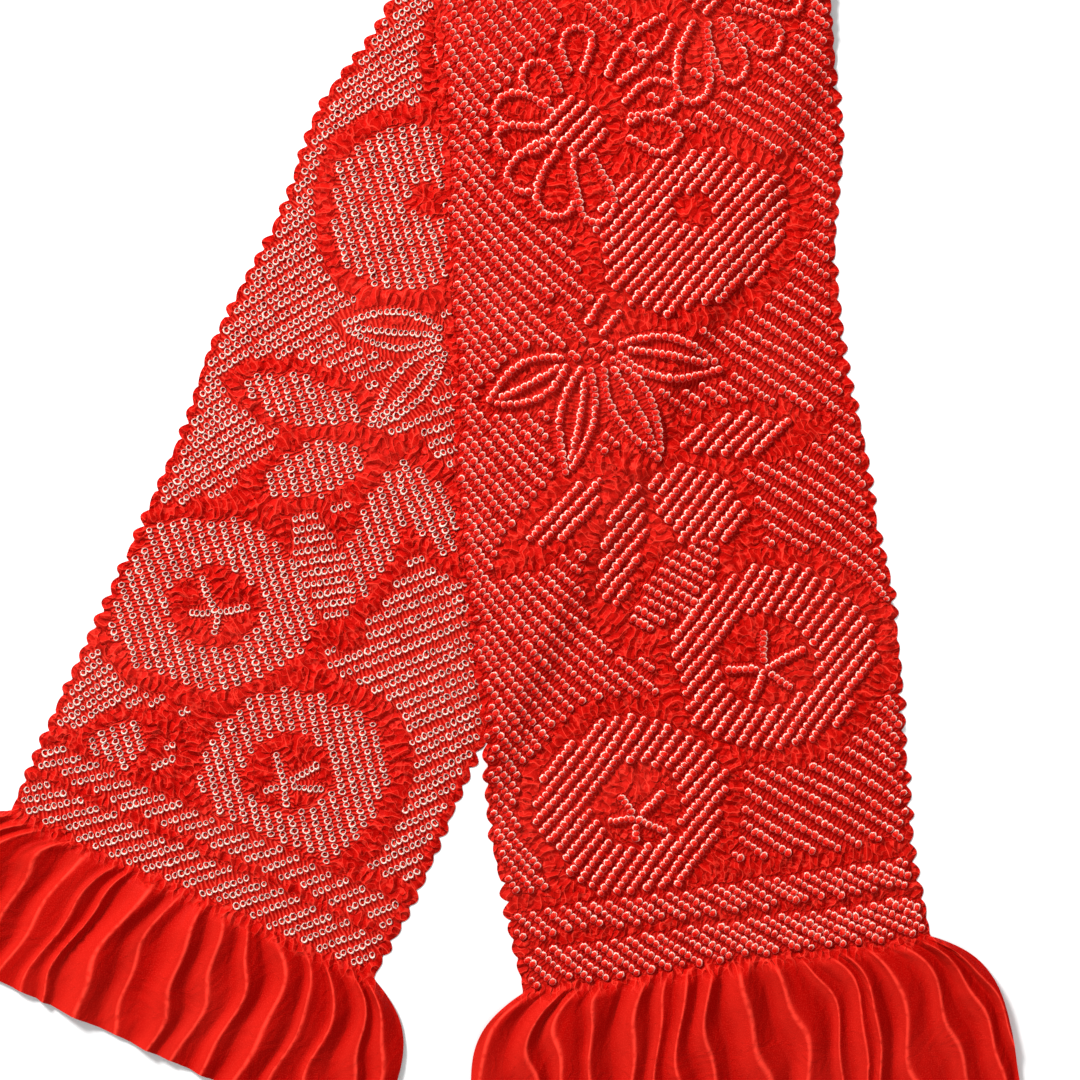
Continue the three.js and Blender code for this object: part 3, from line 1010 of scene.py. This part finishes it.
def loose_colour(tree, folds, creases):
    """The gaps' colour: painted shade in the folds' creases, and painted highlight lines on their crests.
    """
    from_crest = maths(tree, "ABSOLUTE", attribute(tree, "crest"))
    colour = mixed(tree, ramp(tree, from_crest, 0.3, 1.3, 0.0, 0.7), LOOSE_RED, VALLEY_SHADE_RED)
    colour = mixed(tree, ramp(tree, folds, 0.0, 0.75, 0.85, 0.0), colour, VALLEY_SHADE_RED)
    lines = times(tree, ramp(tree, creases, 0.8, 1.0), 0.5)
    lines = maths(tree, "MAXIMUM", ramp(tree, folds, 0.86, 1.0), lines)
    return mixed(tree, lines, colour, CREST_HIGHLIGHT_AND_GRAIN)


def end_colour(tree, fold, ends, creases):
    """The plain end's colour: painted shade in its creases and on each fold's side that faces away from the
    light, and painted highlight on the crests.
    """
    shaded_facet = maths(tree, "FRACT", times(tree, fold, 0.5))
    shaded_facet = times(tree, ramp(tree, shaded_facet, 0.5, 0.64), ramp(tree, shaded_facet, 0.9, 1.0, 1.0, 0.3))
    dark = maths(tree, "MAXIMUM", ramp(tree, ends, 0.0, 0.6, 0.8, 0.0), times(tree, shaded_facet, 0.95))
    colour = mixed(tree, dark, END_RED, VALLEY_SHADE_RED)
    lines = times(tree, ramp(tree, ends, 0.84, 1.0), ramp(tree, creases, 0.0, 0.7, 0.4, 0.95))
    return mixed(tree, lines, colour, CREST_HIGHLIGHT_AND_GRAIN)


def gathered_colour(tree, folds, look):
    """The rows' colour, with the low colour between them, and small pleats across them with painted shade
    in their creases and painted highlight on their crests.
    """
    share = look["pleat_share"]
    colour = mixed(tree, ramp(tree, attribute(tree, "rows"), 0.2, 0.7), look["low"], look["middle"])
    colour = mixed(tree, ramp(tree, folds, 0.0, 0.55, share, 0.0), colour, VALLEY_SHADE_RED)
    return mixed(tree, ramp(tree, folds, 0.5, 1.0, 0.0, share), colour, look["high"])


def cloth_material(name, look):
    """The crinkled silk."""
    material, tree, shader = silk_material(name)
    uv = tree.nodes.new("ShaderNodeTexCoord").outputs["UV"]
    plain = attribute(tree, "plain")
    fold = attribute(tree, "fold")
    tight = ramp(tree, attribute(tree, "tied"), 0.35, 0.85)
    turn = maths(tree, "ARCTAN2", attribute(tree, "pleat_y"), attribute(tree, "pleat_x"))
    turn = maths(tree, "SUBTRACT", math.pi / 2, times(tree, turn, 0.5))
    folds = fold_lines(tree, uv, turn, tight)
    creases = maths(tree, "ABSOLUTE", maths(tree, "SUBTRACT", noise(tree, uv, 230), 0.5))
    creases = maths(tree, "SUBTRACT", 1.0, times(tree, creases, 5.0))
    ends = maths(tree, "PINGPONG", fold, 1.0)
    cloud = noise(tree, uv, 14)
    grain = noise(tree, uv, 2200, 0)

    loose = mixed(tree, plain, loose_colour(tree, folds, creases), end_colour(tree, fold, ends, creases))
    colour = mixed(tree, tight, loose, gathered_colour(tree, folds, look))
    # Paler blotches and grain: the silk's own tone, using the same pale red as the painted highlights.
    colour = mixed(tree, ramp(tree, cloud, 0.45, 0.75, 0.0, 0.15), colour, CREST_HIGHLIGHT_AND_GRAIN)
    colour = mixed(tree, ramp(tree, grain, 0.45, 0.8, 0.0, 0.2), colour, CREST_HIGHLIGHT_AND_GRAIN)
    tree.links.new(colour, shader.inputs["Base Color"])

    crumple = plus(tree, times(tree, folds, 1.1), times(tree, creases, 0.25))
    crumple = times(tree, crumple, ramp(tree, plain, 0.0, 1.0, 1.0, 0.12))
    crumple = times(tree, crumple, ramp(tree, tight, 0.0, 1.0, 1.0, 0.0))
    gather = times(tree, folds, ramp(tree, tight, 0.0, 1.0, 0.0, look["pleat_height"]))
    sharp = times(tree, ends, ramp(tree, plain, 0.0, 1.0))
    relief = plus(tree, plus(tree, crumple, gather), sharp)
    wrinkled = bump(tree, relief, 0.001, 1.0)
    grainy = bump(tree, grain, 0.00015, 0.6)
    tree.links.new(wrinkled.outputs["Normal"], grainy.inputs["Normal"])
    tree.links.new(grainy.outputs["Normal"], shader.inputs["Normal"])
    return material


def point_ring(tree, where, slant, radius, chance, look):
    """How undyed the point is: most on the ring's pale side, which is partly painted light, and in specks.
    """
    start, full, fade, end = look["radii"]
    inner = plus(tree, radius, times(tree, slant, look["thick"]))
    pale = times(tree, ramp(tree, inner, start, full), ramp(tree, radius, fade, end, 1.0, 0.0))
    swing = times(tree, maths(tree, "SUBTRACT", chance, 0.5), 0.3)
    side = ramp(tree, plus(tree, slant, swing), look["from"], look["to"], look["least"], 1.0)
    specks = ramp(tree, noise(tree, where, 15), 0.38, 0.52, 0.3, 1.0)
    return times(tree, times(tree, pale, side), specks)


def point_material(name, look):
    """A tied point: a pale undyed ring round a dyed middle, which has painted light and shade."""
    material, tree, shader = silk_material(name)
    place = tree.nodes.new("ShaderNodeVectorMath")
    place.operation = "SUBTRACT"
    place.inputs[1].default_value = (0.5, 0.5, 0)
    tree.links.new(tree.nodes.new("ShaderNodeTexCoord").outputs["UV"], place.inputs[0])
    split = tree.nodes.new("ShaderNodeSeparateXYZ")
    tree.links.new(place.outputs[0], split.inputs[0])
    reach = tree.nodes.new("ShaderNodeVectorMath")
    reach.operation = "LENGTH"
    tree.links.new(place.outputs[0], reach.inputs[0])
    chance = attribute(tree, "chance")
    joined = tree.nodes.new("ShaderNodeCombineXYZ")
    tree.links.new(split.outputs["X"], joined.inputs["X"])
    tree.links.new(split.outputs["Y"], joined.inputs["Y"])
    tree.links.new(times(tree, chance, 40), joined.inputs["Z"])
    where = joined.outputs[0]

    rough = noise(tree, where, 9)
    radius = times(tree, reach.outputs["Value"], UV_SPAN)
    radius = plus(tree, radius, times(tree, maths(tree, "SUBTRACT", rough, 0.5), 0.9))
    slant_x = times(tree, split.outputs["X"], look["x"])
    slant_y = times(tree, split.outputs["Y"], look["y"])
    slant = plus(tree, slant_x, slant_y)
    blotch = times(tree, maths(tree, "SUBTRACT", noise(tree, where, 5), 0.5), 0.8)
    # The middle is paler on its lit side: a painted highlight on the face's caps, and painted shade in the
    # reverse's pits, darkest on the side away from the light.
    lit = ramp(tree, plus(tree, slant, blotch), -0.12, 0.16)
    colour = mixed(tree, lit, look["dark"], look["light"])
    # Beyond the ring's fade comes the skirt colour, which on the face is painted shade round the point's
    # base.
    colour = mixed(tree, ramp(tree, radius, *look["radii"][2:]), colour, look["skirt"])
    pale = point_ring(tree, where, slant, radius, chance, look)
    colour = mixed(tree, pale, colour, RING_PALE)
    tree.links.new(colour, shader.inputs["Base Color"])
    bumped = bump(tree, rough, 0.0003, 0.6)
    tree.links.new(bumped.outputs["Normal"], shader.inputs["Normal"])
    return material


def floor_material():
    material = bpy.data.materials.new("pale_floor")
    material.use_nodes = True
    shader = material.node_tree.nodes["Principled BSDF"]
    shader.inputs["Base Color"].default_value = (0.93, 0.93, 0.93, 1)
    shader.inputs["Roughness"].default_value = 0.9
    return material


# Building it.

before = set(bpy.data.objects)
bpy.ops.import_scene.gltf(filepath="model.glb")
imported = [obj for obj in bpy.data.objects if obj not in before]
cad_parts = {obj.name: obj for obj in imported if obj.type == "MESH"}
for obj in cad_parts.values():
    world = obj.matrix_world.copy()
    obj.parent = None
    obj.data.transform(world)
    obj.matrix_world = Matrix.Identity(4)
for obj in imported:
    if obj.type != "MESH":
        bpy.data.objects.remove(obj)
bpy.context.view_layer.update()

for tail in (UPPER, LOWER):
    walk_path(tail)
    tail["ground"] = ground_curve(tail)
    tail["gathers"] = end_folds(tail)

upper_points = tied_points(UPPER, UPPER_FILLED, UPPER_OUTLINED, UPPER_LEAVES, UPPER_STEMS)
upper_fields = relief_fields(UPPER, upper_points)
lower_points = tied_points(LOWER, LOWER_FILLED, [], LOWER_LEAVES, [])
lower_fields = relief_fields(LOWER, lower_points)

upper_cloth = cloth_sheet(UPPER, upper_fields)
lower_cloth = cloth_sheet(LOWER, lower_fields)

upper_cloth.data.materials.append(cloth_material("red_silk_face", FACE_SILK))
lower_cloth.data.materials.append(cloth_material("red_silk_reverse", REVERSE_SILK))

near = upper_points[:, 0] > FINE_FROM
face_points = point_material("face_points", FACE_RING)
upper_parts = []
for name, chosen, sides in (("upper_points", near, 8), ("upper_stem_points", ~near, 6)):
    part = point_mesh(name, UPPER, upper_fields, upper_points[chosen], FACE_PROFILE, sides, True)
    part.data.materials.append(face_points)
    upper_parts.append(part)

# Of the lower tail's points, only those that the upper tail doesn't cover are made.
lower_places = plan(LOWER, lower_points[:, 0], lower_points[:, 1])
back_along, back_across = to_tail(UPPER, lower_places)
covered_to = half_width(UPPER, back_along, back_across) - COVERED_MARGIN
shown = (np.abs(back_across) > covered_to) | (back_along > UPPER["band"] - 5)
lower_part = point_mesh("lower_points", LOWER, lower_fields, lower_points[shown], REVERSE_PROFILE, 9, False)
lower_part.data.materials.append(point_material("reverse_points", REVERSE_RING))

for piece in (upper_cloth, lower_cloth, lower_part, *upper_parts):
    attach(piece, "root")
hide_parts("obiage_cloth")


# The floor, the lights and the camera.

floor_mesh = bpy.data.meshes.new("floor")
floor_mesh.from_pydata([(-4, -4, 0), (4, -4, 0), (4, 4, 0), (-4, 4, 0)], [], [(0, 1, 2, 3)])
floor = add_to_scene("floor", floor_mesh)
floor.data.materials.append(floor_material())


def area_light(name, place, size, power):
    """A square light aimed at the middle of the picture. Its place and size are in metres."""
    data = bpy.data.lights.new(name, "AREA")
    data.size = size
    data.energy = power
    light = add_to_scene(name, data)
    light.location = place
    aim = np.array([0.04, -0.1, 0.0]) - np.array(place)
    light.rotation_euler = Vector(aim).to_track_quat("-Z", "Y").to_euler()


area_light("key", (-0.95, 1.1, 1.15), 0.5, 58)
area_light("fill", (0.9, -0.6, 1.8), 1.6, 8)
world = bpy.data.worlds.new("studio")
world.use_nodes = True
background = world.node_tree.nodes["Background"]
background.inputs["Color"].default_value = (1, 1, 1, 1)
background.inputs["Strength"].default_value = 0.45
bpy.context.scene.world = world

camera_data = bpy.data.cameras.new("camera")
camera_data.lens = LENS
camera_data.sensor_width = SENSOR
camera = add_to_scene("camera", camera_data)
distance = PICTURE_WIDTH * MM * LENS / SENSOR
camera.location = (PICTURE_CENTRE[0] * MM, PICTURE_CENTRE[1] * MM, distance + CAMERA_LIFT * MM)
bpy.context.scene.camera = camera
bpy.context.scene.view_settings.view_transform = "Standard"
